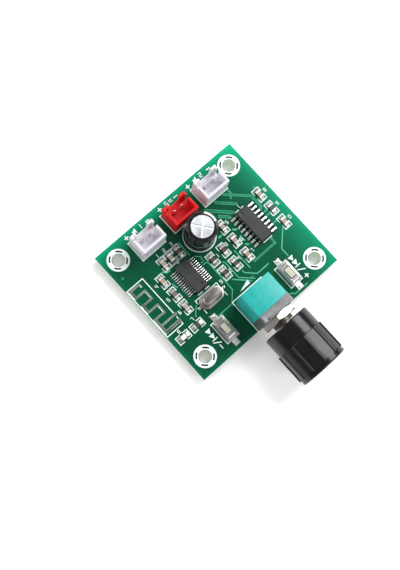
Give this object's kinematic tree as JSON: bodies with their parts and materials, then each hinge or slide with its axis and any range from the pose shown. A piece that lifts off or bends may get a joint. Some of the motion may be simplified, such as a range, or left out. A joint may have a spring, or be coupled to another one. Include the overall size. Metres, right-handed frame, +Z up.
{
  "type": "bluetooth amplifier module",
  "caption": "Small green stereo amplifier board with wire headers, can capacitor, chips, crystal, push switches and a volume control with a ribbed black knob.",
  "frame": {"origin": "centre of the four corner holes on the underside of the circuit board", "axes": "+Z up, away from the board's component side; +Y to the edge with the wire headers; the volume knob points to -Y; +X to the right seen from the knob"},
  "size_m": [0.0468, 0.0594, 0.0161],
  "materials": {
    "solder_mask": "green gloss mask over copper and fibreglass",
    "legend_ink": "printed white",
    "tinned_copper": "dull tinned",
    "solder": "bright, slightly uneven",
    "white_nylon": "moulded, slight sheen",
    "red_nylon": "moulded, slight sheen",
    "tinned_pin": "tinned",
    "can_aluminium": "drawn, satin",
    "shrink_sleeve": "shrunk film with a pale stripe",
    "bung_rubber": "matte",
    "wound_foil": "paper wrapped",
    "chip_epoxy": "fine matte",
    "crystal_steel": "nickel plated, satin",
    "black_moulding": "moulded",
    "pressed_steel": "pressed, satin",
    "spring_steel": "bright",
    "cream_moulding": "moulded",
    "teal_moulding": "moulded, slight sheen",
    "cast_plate": "cast, satin grey",
    "plated_brass": "nickel plated, turned",
    "shaft_aluminium": "turned",
    "rotor_moulding": "moulded",
    "wiper_bronze": "stamped",
    "resistor_card": "paper laminate with a carbon track",
    "knob_plastic": "satin black",
    "ceramic_tan": "fired, fine grain",
    "ceramic_brown": "fired, fine grain",
    "ferrite_grey": "fired",
    "resistor_black": "glazed",
    "led_resin": "clear over white"
  },
  "bodies": {
    "module": {"circuit_board": "solder_mask", "legend_print": "legend_ink", "antenna_track": "tinned_copper", "solder_joints": "solder", "left_output_header": "white_nylon", "left_output_pins": "tinned_pin", "power_header": "red_nylon", "power_pins": "tinned_pin", "right_output_header": "white_nylon", "right_output_pins": "tinned_pin", "capacitor_can": "can_aluminium", "capacitor_sleeve": "shrink_sleeve", "capacitor_bung": "bung_rubber", "capacitor_winding": "wound_foil", "capacitor_leads": "tinned_pin", "amplifier_chip": "chip_epoxy", "amplifier_leads": "tinned_pin", "bluetooth_chip": "chip_epoxy", "bluetooth_leads": "tinned_pin", "crystal_base": "black_moulding", "crystal_can": "crystal_steel", "crystal_terminals": "tinned_pin", "previous_switch_base": "black_moulding", "previous_switch_cover": "pressed_steel", "previous_switch_dome": "spring_steel", "next_switch_base": "black_moulding", "next_switch_cover": "pressed_steel", "next_switch_dome": "spring_steel", "switch_terminals": "tinned_pin", "volume_housing": "teal_moulding", "volume_front_plate": "cast_plate", "volume_bushing": "plated_brass", "volume_nut": "plated_brass", "volume_wafers": "resistor_card", "volume_pins": "tinned_pin", "row_capacitor_left": "ceramic_tan", "row_capacitor_middle": "ceramic_tan", "row_capacitor_right": "ceramic_brown", "edge_capacitor_upper": "ceramic_tan", "edge_inductor": "ferrite_grey", "edge_capacitor_lower": "ceramic_tan", "status_led": "led_resin", "led_resistor": "resistor_black", "input_resistor_1": "resistor_black", "input_resistor_2": "resistor_black", "input_resistor_3": "resistor_black", "input_resistor_4": "resistor_black", "input_capacitor_1": "ceramic_tan", "input_capacitor_2": "ceramic_tan", "input_capacitor_3": "ceramic_tan", "output_capacitor_upper": "ceramic_tan", "output_resistor": "resistor_black", "output_capacitor_lower": "ceramic_tan", "chip_terminations": "tinned_pin"},
    "volume_spindle": {"volume_shaft": "shaft_aluminium", "volume_rotors": "rotor_moulding", "volume_wipers": "wiper_bronze", "volume_knob": "knob_plastic"},
    "previous_plunger": {"previous_switch_plunger": "cream_moulding"},
    "next_plunger": {"next_switch_plunger": "cream_moulding"}
  },
  "joints": [
    {"name": "volume_turn", "type": "hinge", "parent": "module", "child": "volume_spindle", "pos_m": [0.0003, -0.021, 0.0076], "axis": [0, 1, 0], "range_deg": [-150, 150]},
    {"name": "previous_press", "type": "slide", "parent": "module", "child": "previous_plunger", "axis": [0, 0, -1], "range_m": [0, 0.00025], "stiffness_N_per_m": 300, "springref_m": -0.0003, "deforming": ["previous_switch_dome"]},
    {"name": "next_press", "type": "slide", "parent": "module", "child": "next_plunger", "axis": [0, 0, -1], "range_m": [0, 0.00025], "stiffness_N_per_m": 300, "springref_m": -0.0003, "deforming": ["next_switch_dome"]}
  ]
}
